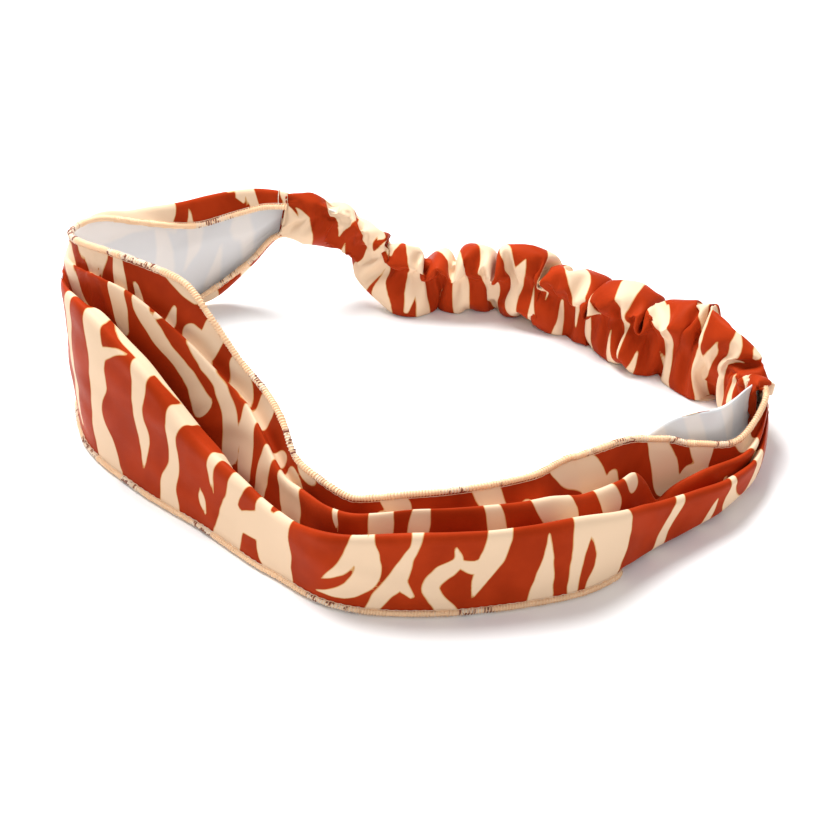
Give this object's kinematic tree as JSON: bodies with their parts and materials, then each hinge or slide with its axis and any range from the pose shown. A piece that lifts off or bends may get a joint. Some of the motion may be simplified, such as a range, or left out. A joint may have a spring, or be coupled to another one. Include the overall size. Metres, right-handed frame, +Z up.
{
  "type": "headband",
  "caption": "Soft printed satin headband: a wide pleated front panel with rolled hems, closed by a gathered elastic casing at the back.",
  "frame": {"origin": "middle of the footprint, on the surface the headband lies on", "axes": "+X runs along the longer side of the loop towards the right join, +Y towards the gathered back, +Z up through the head opening"},
  "size_m": [0.2004, 0.1638, 0.0608],
  "materials": {
    "printed_satin": "rust satin with cream tiger stripes, soft sheen, paler wrong side",
    "overlock_thread": "peach overlock thread wrapped round the rolled edge",
    "sewing_thread": "matt spun sewing thread",
    "woven_elastic": "white braided elastic tape"
  },
  "bodies": {
    "band": {"front_panel": "printed_satin", "upper_hem": "overlock_thread", "lower_hem": "overlock_thread", "left_join_stitching": "sewing_thread", "right_join_stitching": "sewing_thread"},
    "elastic": {"elastic_casing": "printed_satin", "casing_seam": "sewing_thread", "elastic_strip": "woven_elastic"}
  },
  "joints": [
    {"name": "elastic_stretch", "type": "slide", "parent": "band", "child": "elastic", "axis": [0.5089, 0.8608, 0], "range_m": [0, 0.045], "stiffness_N_per_m": 60}
  ]
}
